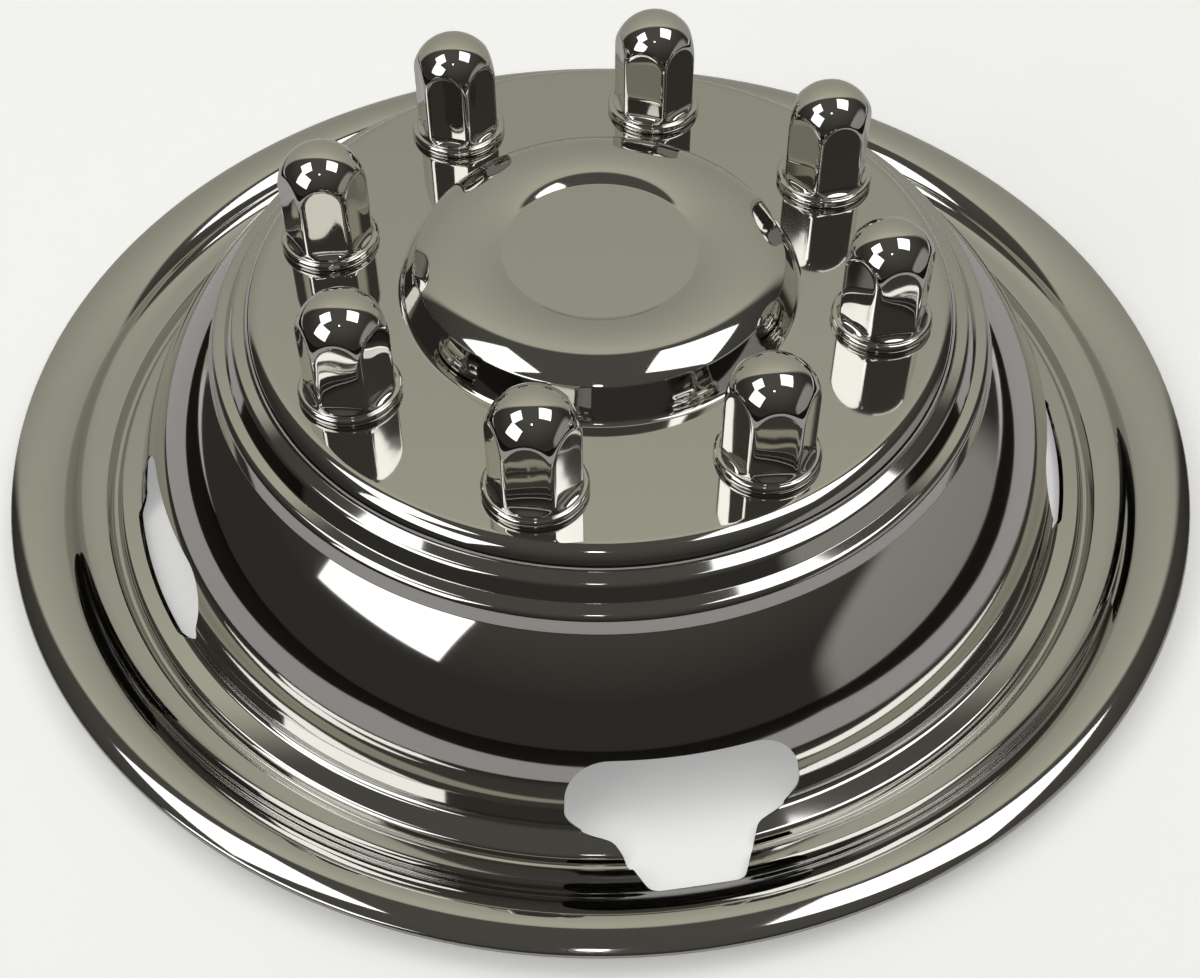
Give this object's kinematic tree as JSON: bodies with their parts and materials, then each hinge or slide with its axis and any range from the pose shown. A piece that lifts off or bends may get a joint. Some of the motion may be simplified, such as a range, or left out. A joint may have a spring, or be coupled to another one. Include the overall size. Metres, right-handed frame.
{
  "type": "truck wheel simulator",
  "caption": "Polished wheel liner with a domed centre, stepped disc, deep curved bell, hand holes, valve notch and tall domed nut covers, for a dual-wheel truck.",
  "frame": {"origin": "centre of the circle that the back of the liner rests on", "axes": "+Z along the wheel's axis, outboard; -Y is the side of the picture's viewer"},
  "size_m": [0.447, 0.447, 0.1285],
  "materials": {
    "stainless": "stamped stainless sheet, mirror polished",
    "cover_plating": "bright chrome plating on moulded plastic",
    "spring_steel": "plain spring steel, hidden behind the sheet"
  },
  "bodies": {
    "root": {"liner": "stainless", "nut_cover_1": "cover_plating", "nut_cover_2": "cover_plating", "nut_cover_3": "cover_plating", "nut_cover_4": "cover_plating", "nut_cover_5": "cover_plating", "nut_cover_6": "cover_plating", "nut_cover_7": "cover_plating", "nut_cover_8": "cover_plating", "retainer_ring_1": "spring_steel", "retainer_ring_2": "spring_steel", "retainer_ring_3": "spring_steel", "retainer_ring_4": "spring_steel", "retainer_ring_5": "spring_steel", "retainer_ring_6": "spring_steel", "retainer_ring_7": "spring_steel", "retainer_ring_8": "spring_steel"}
  },
  "joints": []
}
